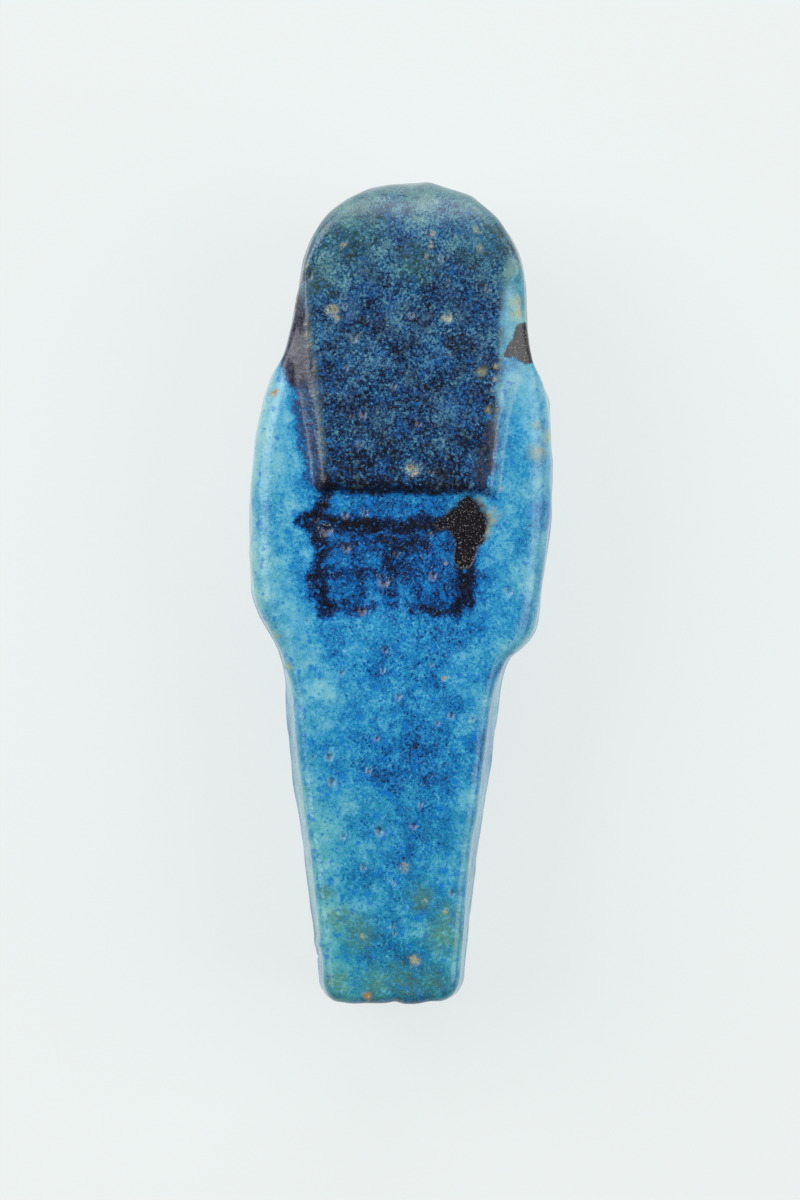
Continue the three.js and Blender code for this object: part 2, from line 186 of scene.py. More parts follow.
edge_radius = through([
    (0, LEG_EDGE_RADIUS), (0.38, LEG_EDGE_RADIUS), (0.48, ARM_EDGE_RADIUS), (0.74, ARM_EDGE_RADIUS),
    (0.785, WIG_EDGE_RADIUS), (0.88, WIG_EDGE_RADIUS), (0.95, CROWN_EDGE_RADIUS), (1, CROWN_EDGE_RADIUS),
])
# The face's opening in the wig: its bottom and top are shares of HEIGHT, and its half of WIDTH.
OPENING = dict(bottom=0.86, top=0.94, half=0.172, power=2.8)
wig_inside = through([
    (LAPPET_BOTTOM, 0.122), (0.75, 0.112), (0.79, 0.118), (0.812, 0.142), (0.838, 0.163),
    (OPENING["bottom"], OPENING["half"]),
])
wig_outside = through([(LAPPET_BOTTOM, 0.285), (0.735, 0.335), (0.784, 0.42), (0.8, 0.5)])
FOOT_TOP = 0.165
TOE_TOP = 0.04
FOOT_ROUNDING = 3.4
# Arms and fists: u is a share of WIDTH and v of HEIGHT, and rises and radii are in millimetres.
ELBOW = dict(u=0.45, v=0.512, rise=1.6, radius=5)
WRIST = dict(u=-0.1, v=0.625, rise=2.4, radius=3.9)
OVER_ARM_RISE = 0.9  # of the arm that crosses over the other
ARM_FADE = 6  # a higher power keeps the arms' rise up to nearer the outline
FIST = dict(u=0.165, v=0.652, half=(3.9, 4.7), turn=0.45, top=0.4, power=3.2)
FIST_FLAT = 0.3  # how far a knob would rise past DEPTH, where it is cut flat
CARVED_FILLET = 1

# Face: a plain, general one. Its halves, middle, forms and nose are shares of its own height, measured up
# from the chin.
CHIN = 0.797  # share of HEIGHT
FACE_HEIGHT = 0.146 * HEIGHT
FACE_HALF = (0.54, 0.56)
FACE_MIDDLE = 0.53
FACE_FRONT = 0.88  # share of DEPTH
FACE_FALL = 6  # millimetres from the cheeks back to the face's edge
FACE_ROUNDING = 2.4
FACE_FORMS = [
    # across, up, half-width, half-height, rise
    (0.2, 0.6, 0.15, 0.085, -0.06),
    (0.205, 0.585, 0.105, 0.045, 0.045),
    (0.2, 0.71, 0.17, 0.035, 0.026),
    (0.24, 0.38, 0.13, 0.13, 0.024),
    (0, 0.24, 0.2, 0.1, 0.02),
    (0, 0.268, 0.13, 0.026, 0.026),
    (0, 0.205, 0.1, 0.03, 0.028),
    (0, 0.07, 0.13, 0.07, 0.035),
]
NOSE = dict(top=0.78, bridge=0.7, tip=0.375, base=0.325, half=(0.055, 0.095), bridge_rise=0.35)
EAR = dict(u=0.212, v=0.862, half=(1.3, 2.5), rise=1.1)


def half_width(side, v):
    """From the axis to the outline on one side."""
    t = v / HEIGHT
    corner = HEEL_CORNER[side]
    below = np.clip(corner - v, 0, corner)
    inset = corner - np.sqrt(corner**2 - below**2)
    half = WIDTH * outline(side, np.minimum(t, CROWN_START)) - inset
    return half * crown_shrink(v, CROWN_OUTLINE_ROUNDING)


def sole_inset(v):
    """How far the surface draws in at the rounded edge of the soles."""
    below = np.clip(SOLE_EDGE_RADIUS - v, 0, SOLE_EDGE_RADIUS)
    return SOLE_EDGE_RADIUS - np.sqrt(SOLE_EDGE_RADIUS**2 - below**2)


def crown_shrink(v, power):
    """1 up to the crown's start, and then falling on a round curve to 0 at the top."""
    return rounded(np.maximum(0, v / HEIGHT - CROWN_START) / (1 - CROWN_START), power)


def panel_share(side, u, v):
    """1 on the wig's raised back panel, 0 beside and below it."""
    t = v / HEIGHT
    across = 1 - step(np.abs(u), WIDTH * panel_ridge(side, t), WIDTH * panel_foot(side, t))
    share = across * step(v, PANEL_BOTTOM * HEIGHT - WIG_STEP_LENGTH, PANEL_BOTTOM * HEIGHT)
    return np.where(t >= PANEL_FREE, 1, share)


def arm_rise(u, v, sign, over):
    """Rise of one forearm, from its elbow to its wrist."""
    elbow = np.array([sign * ELBOW["u"] * WIDTH, ELBOW["v"] * HEIGHT])
    along = np.array([sign * WRIST["u"] * WIDTH, WRIST["v"] * HEIGHT]) - elbow
    s = clamp(((u - elbow[0]) * along[0] + (v - elbow[1]) * along[1]) / (along @ along))
    away = np.hypot(u - elbow[0] - s * along[0], v - elbow[1] - s * along[1])
    rise = lerp(ELBOW["rise"], WRIST["rise"], s) + over
    return rise * (1 - step(away / lerp(ELBOW["radius"], WRIST["radius"], s), 0, 1))


def fist_place(u, v, sign):
    """Where (u, v) is on a fist: across it and along it, both 1 at its edge."""
    cos, sin = math.cos(FIST["turn"]), sign * math.sin(FIST["turn"])
    du = u - sign * FIST["u"] * WIDTH
    dv = v - FIST["v"] * HEIGHT
    return (cos * du + sin * dv) / FIST["half"][0], (cos * dv - sin * du) / FIST["half"][1]


def fist_front(u, v, sign, trunk):
    """Front of one fist: a knob with a flat top, which stands on the trunk."""
    across, along = np.abs(fist_place(u, v, sign))
    away = (across ** FIST["power"] + along ** FIST["power"]) ** (1 / FIST["power"])
    knob = 1 - step(away, FIST["top"], 1)
    return np.minimum(DEPTH, lerp(trunk, DEPTH + FIST_FLAT, knob))


def body_front(u, v, share):
    """Front of the trunk, feet, arms and fists. The share is 0 on the axis and 1 at the outline."""
    t = v / HEIGHT
    widest = widest_depth(t) * DEPTH
    trunk = lerp(widest, body_depth(t) * DEPTH, rounded(share, BODY_ROUNDING))
    foot = 1 - step(t, TOE_TOP, FOOT_TOP)
    legs = trunk + foot * (1 - body_depth(t)) * DEPTH * rounded(share, FOOT_ROUNDING)
    arms = np.maximum(arm_rise(u, v, LEFT, 0), arm_rise(u, v, RIGHT, OVER_ARM_RISE))
    body = legs + arms * (1 - share**ARM_FADE)
    fists = np.maximum(fist_front(u, v, LEFT, legs), fist_front(u, v, RIGHT, legs))
    return np.where(fists > legs, smooth_max(body, fists, CARVED_FILLET), body)


def nose_rise(x, y):
    """The nose, from 0 beside it to 1 at its tip."""
    down = clamp((NOSE["bridge"] - y) / (NOSE["bridge"] - NOSE["tip"]))
    under = step(y, NOSE["base"], NOSE["tip"])
    top = 1 - step(y, 2 * NOSE["bridge"] - NOSE["top"], NOSE["top"])
    width = lerp(*NOSE["half"], down * down)
    return lerp(NOSE["bridge_rise"], 1, down) * under * top * bell(x, width)


def face_place(u, v):
    return u / FACE_HEIGHT, (v - CHIN * HEIGHT) / FACE_HEIGHT


def face_front(u, v):
    """Front of the face, and 0 outside it."""
    x, y = face_place(u, v)
    form = rounded(np.hypot(x / FACE_HALF[0], (y - FACE_MIDDLE) / FACE_HALF[1]), FACE_ROUNDING)
    cheeks = FACE_FRONT * DEPTH
    relief = 0
    for across, up, half_across, half_up, rise in FACE_FORMS:
        relief = relief + rise * bell(np.abs(x) - across, half_across) * bell(y - up, half_up)
    w = cheeks - FACE_FALL * (1 - form) + relief * FACE_HEIGHT
    w = w + (DEPTH - NOSE_CLEARANCE - cheeks) * nose_rise(x, y)
    return np.where(form > 0, w, 0)


def wig_front(u, v, share):
    """Front of the wig, with the ears on it."""
    t = v / HEIGHT
    out = rounded(share, WIG_ROUNDING) * crown_shrink(v, CROWN_FRONT_ROUNDING)
    across = (np.abs(u) - EAR["u"] * WIDTH) / EAR["half"][0]
    up = (v - EAR["v"] * HEIGHT) / EAR["half"][1]
    ear = EAR["rise"] * np.exp(-((across**2 + up**2) ** 2))
    return lerp(widest_depth(t), wig_depth(t), out) * DEPTH + ear


def wig_share(u, v):
    """The wig's front: 1 on it, 0 in its opening and outside it."""
    t = v / HEIGHT
    side = np.abs(u) / (WIDTH * wig_inside(t))
    up = np.maximum(0, t - OPENING["bottom"]) / (OPENING["top"] - OPENING["bottom"])
    opening = (side ** OPENING["power"] + up ** OPENING["power"]) ** (1 / OPENING["power"])
    edge = CARVED_EDGE / (2 * OPENING["half"] * WIDTH)
    outer_edge = WIDTH * wig_outside(t)
    inner = step(opening, 1 - edge, 1 + edge)
    outer = 1 - step(np.abs(u), outer_edge - CARVED_EDGE, outer_edge)
    return inner * outer * step(v, LAPPET_BOTTOM * HEIGHT, LAPPET_BOTTOM * HEIGHT + CARVED_EDGE)


def front_depth(u, v, share):
    """How far forward the figure reaches."""
    body = body_front(u, v, share)
    inside = np.where(v > LAPPET_BOTTOM * HEIGHT, smooth_max(body, face_front(u, v), CARVED_FILLET), body)
    return lerp(inside, wig_front(u, v, share), wig_share(u, v)) - sole_inset(v)


# Mesh: rings up the figure. On each side a ring runs from the middle of the back to the middle of the front.
SOLE_RINGS = 14
EDGE_RINGS = 9
BODY_RINGS = 264
CROWN_RINGS = 44
BACK_PIECES = 66
ARC_PIECES = 7
WALL_PIECES = 11
FRONT_PIECES = 62
FRONT_CROWDING = 1.12


def ring_heights():
    """Heights of the rings, which crowd at the soles' edge and at the top of the crown."""
    edge = SOLE_EDGE_RADIUS * (1 - np.cos(np.linspace(0, math.pi / 2, EDGE_RINGS, endpoint=False)))
    body = np.linspace(SOLE_EDGE_RADIUS, CROWN_START * HEIGHT, BODY_RINGS, endpoint=False)
    angles = np.linspace(0, math.pi / 2, CROWN_RINGS, endpoint=False)
    crown = (CROWN_START + (1 - CROWN_START) * np.sin(angles)) * HEIGHT
    return np.concatenate([edge, body, crown])[:, None]


def side_grid(side, v):
    """Points (u, w) of one side, a row for each ring."""
    t = v / HEIGHT
    half = half_width(side, v)
    widest = widest_depth(t) * DEPTH
    shrink = crown_shrink(v, CROWN_BACK_ROUNDING)
    level = widest * (1 - shrink) + sole_inset(v)
    flat = half * back_flat(side, t)
    radius = np.minimum(np.minimum(edge_radius(t), flat / 2), np.maximum(widest - level, 0) / 2)
    start = flat - radius
    end = radius / np.hypot(half - flat, widest - level)
    wall_u = lerp(flat, half, end)
    wall_w = lerp(level, widest, end)
    s = np.linspace(0, 1, BACK_PIECES + 1)
    back_u = start * s
    back_w = level + 0 * s
    s = np.linspace(0, 1, ARC_PIECES + 1)[1:]
    arc_u = start * (1 - s) ** 2 + flat * 2 * s * (1 - s) + wall_u * s * s
    arc_w = level * (1 - s * s) + wall_w * s * s
    s = np.linspace(0, 1, WALL_PIECES + 1)[1:]
    u = np.hstack([back_u, arc_u, lerp(wall_u, half, s)])
    w = np.hstack([back_w, arc_w, lerp(wall_w, widest, s)])
    on_wall = (w - level) / (widest - level)
    w = w - WIG_STEP * panel_share(side, u, v) * (1 - on_wall) * shrink
    share = np.sin(math.pi / 2 * np.linspace(1, 0, FRONT_PIECES + 1)[1:] ** FRONT_CROWDING)
    front_w = front_depth(side * half * share, v, share)
    return side * np.hstack([u, half * share]), np.hstack([w, front_w])


def figure_grid():
    """Places (u, v, w) of the whole surface: rings, and points round each ring."""
    v = ring_heights()
    right_u, right_w = side_grid(RIGHT, v)
    left_u, left_w = side_grid(LEFT, v)
    u = np.hstack([right_u, left_u[:, -2:0:-1]])
    w = np.hstack([right_w, left_w[:, -2:0:-1]])
    grid = np.dstack([u, v + 0 * u, w])
    centre = grid[0].mean(axis=0)
    shares = np.linspace(0, 1, SOLE_RINGS, endpoint=False)[1:, None, None]
    sole = centre + (grid[0] - centre) * shares
    return np.concatenate([sole, grid])


def grid_normals(grid):
    """The outward normal at each point of the grid."""
    around = np.roll(grid, -1, axis=1) - np.roll(grid, 1, axis=1)
    along = np.gradient(grid, axis=0)
    normals = np.cross(along, around)
    return normals / np.maximum(np.linalg.norm(normals, axis=2, keepdims=True), TINY)


WAVE_COUNT = 48


def waves(points, size, seed):
    """A smooth random field with lumps of about the given size; most values are within -1 and 1."""
    random = np.random.default_rng(seed)
    ways = random.normal(size=(WAVE_COUNT, 3))
    ways /= np.linalg.norm(ways, axis=1, keepdims=True)
    ways *= 2 * math.pi / size * random.uniform(0.5, 1.1, (WAVE_COUNT, 1))
    phases = random.uniform(0, 2 * math.pi, WAVE_COUNT)
    return np.cos(points @ ways.T + phases).sum(axis=-1) / math.sqrt(WAVE_COUNT)


# Marks on the surface, placed in millimetres on the figure of 105 mm.
# Pits that burst in the glaze on the back: u, v, radius and how dark the middle is.
PITS = [
    (-10.0, 60.2, 0.85, 0.3), (-7.6, 62.2, 0.6, 0.9), (-7.3, 58.0, 0.75, 0.9), (-5.0, 62.5, 0.45, 0.4),
    (-2.4, 53.8, 0.8, 0.3), (3.9, 54.8, 0.65, 0.3), (-5.1, 49.9, 0.6, 0.7), (0.8, 68.2, 1.0, 0.1),
    (13.5, 52.9, 0.65, 0.2), (1.5, 74.0, 0.55, 0.8), (4.8, 87.5, 0.55, 0.1), (0.2, 87.8, 0.5, 0.1),
    (-9.9, 87.9, 0.8, 0.2), (-7.0, 84.7, 0.5, 0.2), (-0.2, 39.2, 0.6, 0.2), (-2.7, 33.8, 0.5, 0.3),
    (-8.8, 31.3, 0.7, 0.7), (-8.2, 28.1, 0.7, 0.8), (-3.6, 29.7, 0.4, 0.1), (6.7, 37.0, 0.5, 0.7),
    (9.4, 36.6, 0.5, 0.2), (2.4, 22.8, 0.6, 0.9), (-2.0, 22.1, 0.8, 0.8), (-6.6, 21.2, 0.45, 0.1),
    (-2.0, 45.0, 0.45, 0.9), (-7.5, 42.0, 0.4, 0.6), (7.4, 14.4, 0.5, 0.8), (-0.9, 57.4, 0.4, 0.8),
    (3.3, 67.9, 0.4, 0.3), (-1.9, 78.6, 0.5, 0.2), (-5.6, 75.0, 0.5, 0.7), (3.7, 95.0, 0.4, 0.1),
]
# Bare spots where the glaze has chipped: u, v and radius.
CHIPS = [(-17.1, 77.4, 0.5), (-3.0, 1.0, 0.55), (5.6, 41.7, 0.3), (5.4, 56.4, 0.28)]
# Uneven places on the outline: u, v, radius and rise.
OUTLINE_LUMPS = [
    (1.7, 105.0, 1.7, 0.28), (7.4, 103.6, 1.6, 0.2), (-9.4, 7.3, 0.6, 0.35), (5.2, 0.8, 1.5, -0.5),
    (0.6, 0.0, 0.8, -0.3), (-4.5, 0.0, 2.2, 0.12), (-9.3, 0.6, 1.2, -0.25), (18.3, 70.0, 2.5, 0.1),
    (-14.3, 94.0, 4.0, -0.5),
]
SPOT_SOFTNESS = 0.35
STAIN_SOFTNESS = 0.9
ON_BACK, ON_FRONT = -1, 1
FREE_PIT_COUNT = 90
FREE_PIT_RADII = (0.2, 0.42)
FREE_PIT_DARKNESS = 0.5
PIT_REACH = 2.5  # radii from a pit's middle, past which it changes nothing
PIT_DEPTH = 0.3
PIT_RIM_RISE = 0.06
CHIP_DEPTH = 0.15
UNEVENNESS = [(22, 0.1, 1), (7, 0.06, 2), (2.2, 0.022, 3)]  # size, rise and seed
SEAM_RISE = 0.12
SEAM_HALF = 0.35
FINGER_GROOVES = (-0.42, 0.0, 0.42)  # places along a fist
FINGER_GROOVE_HALF = 0.09
FINGER_DEPTH = 0.3


def free_pits():
    """More small pits, scattered over the whole surface: u, v, radius, darkness and which face."""
    random = np.random.default_rng(11)
    pits = []
    for _ in range(FREE_PIT_COUNT):
        place = random.uniform(-17, 17), random.uniform(2, 102)
        radius = random.uniform(*FREE_PIT_RADII)
        pits.append((*place, radius, FREE_PIT_DARKNESS, random.choice([ON_BACK, ON_FRONT])))
    return pits


def pit_fields(points, back):
    """How far into a pit each point is, how dark it is there, and how near it is to a pit's rim."""
    u, v = points[..., 0], points[..., 1]
    ragged = 1 + 0.22 * waves(points, 1.1, 21)
    core = np.zeros(u.shape)
    dark = np.zeros(u.shape)
    rim = np.zeros(u.shape)
    for at_u, at_v, radius, darkness, face in [(*pit, ON_BACK) for pit in PITS] + free_pits():
        reach = PIT_REACH * radius
        near = (np.abs(u - at_u) < reach) & (np.abs(v - at_v) < reach) & (back == (face == ON_BACK))
        away = np.hypot(u[near] - at_u, v[near] - at_v) / radius * ragged[near]
        depth = 1 - step(away, 0.2, 0.95)
        core[near] = np.maximum(core[near], depth)
        dark[near] = np.maximum(dark[near], depth * darkness)
        rim[near] = np.maximum(rim[near], bell(away - 0.85, 0.2) * (1.1 - darkness))
    return core, dark, rim


def spots(points, marks, softness):
    """1 inside any of the round marks (u, v, radius), and 0 outside, with ragged edges."""
    u, v = points[..., 0], points[..., 1]
    ragged = 0.25 * waves(points, 0.9, 31)
    share = np.zeros(u.shape)
    for at_u, at_v, radius in marks:
        away = np.hypot(u - at_u, v - at_v) / radius + ragged
        share = np.maximum(share, 1 - step(away, 1 - softness, 1 + softness))
    return share


def relief(points, widest, core, rim, chips):
    """Rise of the surface along its normal: hand-made unevenness, the mould's seam, pits and chips."""
    u, v, w = points[..., 0], points[..., 1], points[..., 2]
    rise = sum(height * waves(points, size, seed) for size, height, seed in UNEVENNESS)
    rise += SEAM_RISE * bell(w - widest, SEAM_HALF) * step(v, 2, 6) * (0.7 + 0.3 * waves(points, 5, 4))
    rise += PIT_RIM_RISE * rim - PIT_DEPTH * core - CHIP_DEPTH * chips
    for sign in (LEFT, RIGHT):
        across, along = fist_place(u, v, sign)
        on_fist = (1 - step(np.maximum(np.abs(across), np.abs(along)), 0.75, 0.95)) * (w > widest)
        for groove in FINGER_GROOVES:
            rise -= FINGER_DEPTH * bell(along - groove, FINGER_GROOVE_HALF) * on_fist
    for at_u, at_v, radius, lump in OUTLINE_LUMPS:
        rise += lump * bell(np.hypot(u - at_u, v - at_v), radius)
    return rise


LINE_SOFTNESS = 0.65


def line_share(places, line):
    """1 on a brushed line through (u, v, half-width) points, 0 off it, with soft edges."""
    u, v = places
    best = np.zeros(u.shape)
    for (u0, v0, r0), (u1, v1, r1) in zip(line, line[1:]):
        du, dv = u1 - u0, v1 - v0
        s = clamp(((u - u0) * du + (v - v0) * dv) / (du * du + dv * dv))
        away = np.hypot(u - u0 - s * du, v - v0 - s * dv)
        radius = lerp(r0, r1, s)
        inside, outside = radius * (1 - LINE_SOFTNESS), radius * (1 + LINE_SOFTNESS)
        best = np.maximum(best, 1 - step(away, inside, outside))
    return best


# Brushed lines on the back: strength and (u, v, half-width) points.
SEED_BAG = [
    (1.0, [(-12.6, 61.3, 1.1), (-11.3, 61.1, 1.5), (-7, 60.9, 0.9), (-0.5, 60.9, 0.95), (5, 61.4, 1.0)]),
    (1.0, [(5, 61.4, 1.0), (8.4, 62.2, 1.3)]),
    (0.9, [(-10.2, 65.5, 0.8), (-10.4, 63, 0.8), (-11.8, 61.4, 1.2)]),
    (0.9, [(-11.0, 60.5, 1.1), (-10.3, 58, 1.0), (-10.9, 54.5, 1.2), (-10.4, 52, 1.1), (-9.6, 49.8, 0.9)]),
    (0.95, [(8.0, 58.5, 1.1), (8.2, 55, 1.1), (8.2, 51.9, 1.1)]),
    (0.9, [(8.0, 52, 0.9), (6.7, 50, 1.0)]),
    (0.75, [(-3.4, 58.9, 0.9), (-0.5, 58.8, 1.0), (3.0, 58.9, 0.7)]),
    (0.5, [(-9, 58.2, 0.7), (-3.4, 58.9, 0.8)]),
    (0.45, [(-9.8, 54.9, 0.8), (-3, 54.9, 0.9), (3.6, 55.3, 0.7)]),
    (0.6, [(-9.4, 50.6, 0.8), (-6.5, 50.1, 0.8), (-3.2, 50.6, 0.5)]),
    (0.8, [(1.4, 50.6, 0.6), (4.2, 50.4, 0.7), (7.0, 50.2, 0.8)]),
    (0.5, [(-6.0, 60, 0.8), (-5.6, 55, 0.7), (-5.2, 50.4, 0.6)]),
    (0.55, [(-2.0, 58.8, 0.8), (-1.8, 55, 0.8), (-1.3, 51, 0.6)]),
    (0.4, [(1.8, 58.8, 0.8), (1.9, 56.4, 0.6)]),
    (0.3, [(2.1, 55, 0.7), (2.0, 51, 0.6)]),
    (0.35, [(5.9, 60, 0.7), (5.9, 57.8, 0.6)]),
]
WIG_LOWER_EDGE = [
    (1.0, [(-10.6, 66.1, 0.9), (-6, 65.8, 0.85), (0, 65.6, 0.7), (5, 65.9, 0.6), (9.4, 66.5, 0.8)]),
]
# A purplish wash of the same paint, thinly laid, along the wig's sides.
WASHES = [
    (1.0, [(-14.4, 93, 0.2), (-14.7, 89, 0.9), (-14.6, 85.4, 1.6), (-14.7, 82.3, 2.0), (-14.1, 80, 1.6)]),
    (0.55, [(-14.1, 80, 1.6), (-12.9, 72.3, 1.3), (-11.9, 68.3, 1.3), (-11, 66.4, 1.2)]),
    (0.6, [(9.6, 66.8, 1.0), (10.3, 70.5, 1.3), (10.6, 74.5, 0.6)]),
]
# Thick, black-brown crusts: at the bag's right corner, and on the right of the head.
CRUSTS = [
    (1.0, [(7.9, 63.6, 1.3), (8.1, 62.0, 2.7), (8.2, 60.2, 2.5), (7.8, 57.2, 1.2)]),
    (0.7, [(4.6, 61.8, 1.0), (8.0, 62.2, 1.6)]),
    (1.0, [(12.9, 83.3, 0.7), (14.0, 84.2, 1.3), (14.7, 86.4, 1.0)]),
    (1.0, [(14.0, 84.0, 1.2), (15.7, 83.2, 1.1), (15.2, 86.2, 0.8)]),
]
# Stains: u, v and radius.
YELLOW_STAINS = [
    (10.8, 62.4, 1.0), (10.2, 60.5, 0.7), (9.4, 64.0, 0.7), (13.4, 89.9, 0.7), (13.7, 88.4, 0.8),
    (16.6, 70.8, 0.9), (18.2, 73.0, 0.8), (16.4, 74.3, 0.45), (-15.9, 46.6, 0.4), (-14.2, 42.6, 0.4),
    (9.3, 80.8, 0.5), (10.3, 76.0, 0.4), (-9.6, 88.2, 0.5), (8.7, 96.4, 0.35), (3.0, 5.7, 0.5),
]
# Small specks of sand in the glaze: u, v and radius.
SAND = [
    (-10.2, 88.2, 0.6), (-9.3, 86.9, 0.4), (4.7, 87.6, 0.6), (2.7, 98.1, 0.3), (2.3, 96.8, 0.35),
    (1.9, 95.4, 0.3), (-13.4, 86.3, 0.25), (-13.1, 84.9, 0.3), (-12.8, 83.5, 0.25), (11.1, 81.6, 0.35),
    (11.0, 79.9, 0.4), (10.8, 78.4, 0.3), (0.8, 68.1, 0.7), (13.6, 89.2, 0.5), (4.1, 13.2, 0.35),
    (-3.9, 8.4, 0.3), (6.6, 12.0, 0.35), (1.2, 17.5, 0.6), (-8.8, 96.5, 0.35), (-13.6, 93.8, 0.4),
    (3.4, 60.0, 0.2), (12.3, 66.0, 0.2), (8.1, 98.9, 0.35), (2.9, 5.6, 0.7),
]
FOOT_STAINS = [
    (-4.2, 8.8, 1.9), (-6.5, 10.8, 1.4), (3.6, 13.6, 1.5), (6.3, 9.0, 2.0), (6.9, 11.4, 1.5),
    (1.6, 2.8, 2.4), (5.5, 2.8, 2.0), (-1.5, 2.4, 2.0), (-7.2, 2.2, 1.8), (-8.6, 14.0, 0.9),
]
CROWN_STAINS = [
    (-8.5, 98.5, 4.5), (-12.0, 92.5, 2.6), (9.5, 98.0, 3.4), (12.8, 93.0, 2.0), (0.5, 94.5, 2.2),
]
CROWN_STAIN_SHARE = 0.45

# Depth of the blue, from 0, pale turquoise, to 1, black: up the middle of the back, and up the wig.
BACK_TONE = through([
    (0, 0.52), (3, 0.48), (8, 0.43), (16, 0.38), (24, 0.44), (31, 0.55), (38, 0.46), (46, 0.5), (54, 0.5),
    (62, 0.54), (70, 0.4), (80, 0.32), (105, 0.32),
])
WIG_TONE = through([(60, 0.8), (68, 0.8), (76, 0.78), (84, 0.74), (90, 0.7), (96, 0.68), (105, 0.6)])
FRONT_TONE = 0.34
LINE_TONE = 0.98
# An unsteady hand, for the broad strokes on the back and the fine ones in front: reach, size and seed.
BRUSH_SHAKES = [(0.3, 2.4, 41), (0.12, 0.9, 44)]
PEN_SHAKES = [(0.07, 1.6, 47)]
# The column of bars down the front of the legs.
COLUMN_TOP = (4.3, 47, 0.38)  # u, v and half-width
BAR_TOP = 44.5
BAR_ROWS = 12
BAR_SPACING = 2.2
BAR_MIDDLE = 1.7
BAR_HALF = 0.27


def unsteady(points, shakes):
    """Places (u, v) moved about by an unsteady hand."""
    places = []
    for axis in (0, 1):
        place = points[..., axis]
        for reach, size, seed in shakes:
            place = place + reach * waves(points, size, seed + axis)
        places.append(place)
    return places


def brushed(places, lines):
    """How thick the paint of several brushed lines lies."""
    share = np.zeros(places[0].shape)
    for strength, line in lines:
        share = np.maximum(share, strength * line_share(places, line))
    return share


def front_lines():
    """Brushed lines on the front: brows, eyes, hoes and a column of short bars down the legs."""
    lines = []
    for sign in (LEFT, RIGHT):
        brow = [(0.06, 0.7, 0.28), (0.2, 0.735, 0.32), (0.36, 0.68, 0.26)]
        lid = [(0.09, 0.575, 0.22), (0.2, 0.635, 0.3), (0.31, 0.585, 0.26), (0.4, 0.58, 0.2)]
        under = [(0.09, 0.575, 0.18), (0.2, 0.54, 0.22), (0.31, 0.585, 0.2)]
        pupil = [(0.2, 0.587, 0.46), (0.21, 0.59, 0.46)]
        for mark in (brow, lid, under, pupil):
            line = [(sign * x * FACE_HEIGHT, CHIN * HEIGHT + y * FACE_HEIGHT, half) for x, y, half in mark]
            lines.append((1.0, line))
        handle = [(8.1, 64.9, 0.35), (9.3, 62.0, 0.35)]
        blade = [(12.4, 80.2, 0.35), (14.6, 78.6, 0.4), (15.3, 74.0, 0.6)]
        column = [COLUMN_TOP, (4.0, 30, 0.38), (3.7, 17, 0.38)]
        for mark in (handle, blade, column):
            lines.append((0.95, [(sign * x, y, half) for x, y, half in mark]))
    half_across, top, half = COLUMN_TOP
    lines.append((0.95, [(-half_across, top, half), (half_across, top, half)]))
    random = np.random.default_rng(8)
    for row in range(BAR_ROWS):
        height = BAR_TOP - row * BAR_SPACING
        for column_middle in (-BAR_MIDDLE, BAR_MIDDLE):
            middle = column_middle + random.uniform(-0.3, 0.3)
            reach = random.uniform(0.5, 1.1)
            slant = random.uniform(-0.35, 0.35)
            ends = [(middle - reach, height - slant, BAR_HALF), (middle + reach, height + slant, BAR_HALF)]
            lines.append((0.9, ends))
    return lines


def tone_off_wig(points, share):
    """Depth of the blue off the wig: darkest up the middle of the back, pale at the arms, even in front,
    with painted shade on the back: deeper to the right, lighter to the left.
    """
    u, v, w = points[..., 0], points[..., 1], points[..., 2]
    middle = 1 - step(share, 0.25, 0.95)
    clouds = 0.05 * waves(points, 9, 51) + 0.05 * waves(points, 3.2, 52)
    pale_arms = 0.05 * step(share, 0.85, 1) * step(v, 40, 48)
    # 0.004 * u is painted shade: the back is darker to the right and lighter to the left, as if lit more
    #                             from the left.
    on_back = BACK_TONE(v) * (0.58 + 0.42 * middle) + 0.004 * u - 0.03 - pale_arms
    return lerp(on_back, FRONT_TONE, step(w + waves(points, 6, 50), 3, 14)) + clouds


def tone_on_wig(points, share, rim, bare_side):
    """Depth of the blue on the wig: paler towards the crown and where the paint lies thinly, and darker at
    the outline, a painted shade over the rounded edge that the lamps light.
    """
    tone = WIG_TONE(points[..., 1]) + 0.05 * waves(points, 5, 62) + 0.04 * waves(points, 1.9, 63)
    # 0.16 * step(share, 0.93, 0.99) is painted shade along the wig's outline, where the rounded edge faces
    # the lamps.
    return tone - 0.14 * rim - 0.42 * bare_side + 0.16 * step(share, 0.93, 0.99)


def painted_wig(points, wobble, back, side, side_paint):
    """1 where the wig's dark paint lies: on its back panel, round its sides and on its front."""
    v = points[..., 1]
    edge = PANEL_BOTTOM * HEIGHT
    ridge = WIDTH * panel_ridge(RIGHT, v / HEIGHT)
    on_right = 1 - step(np.abs(wobble[0]), ridge - 0.7, ridge + 0.9)
    on_right = on_right * step(wobble[1], edge - WIG_STEP_LENGTH, edge)
    on_panel = np.where(side == RIGHT, on_right, panel_share(LEFT, *wobble))
    on_back = np.where(v > PANEL_FREE * HEIGHT, 1, np.maximum(on_panel, side_paint))
    return np.where(back, on_back, wig_share(*wobble))


def worn_rim(points, share, near_back):
    """1 where the paint has worn away to a thinner coat along the crown's edge."""
    v = points[..., 1]
    rim = 1 - crown_shrink(v + 0.8 + 0.7 * waves(points, 5, 61), 2.2) * rounded(share, 5)
    return step(v, 84, 97) * step(rim, 0.15, 0.55) * (0.35 + 0.65 * near_back)


def in_seed_bag(u, v):
    """1 inside the bag's outline, 0 outside."""
    across = step(u, -11, -9.5) * (1 - step(u, 6.5, 8.5))
    return across * step(v, 48.5, 51.5) * (1 - step(v, 59.5, 61.5))


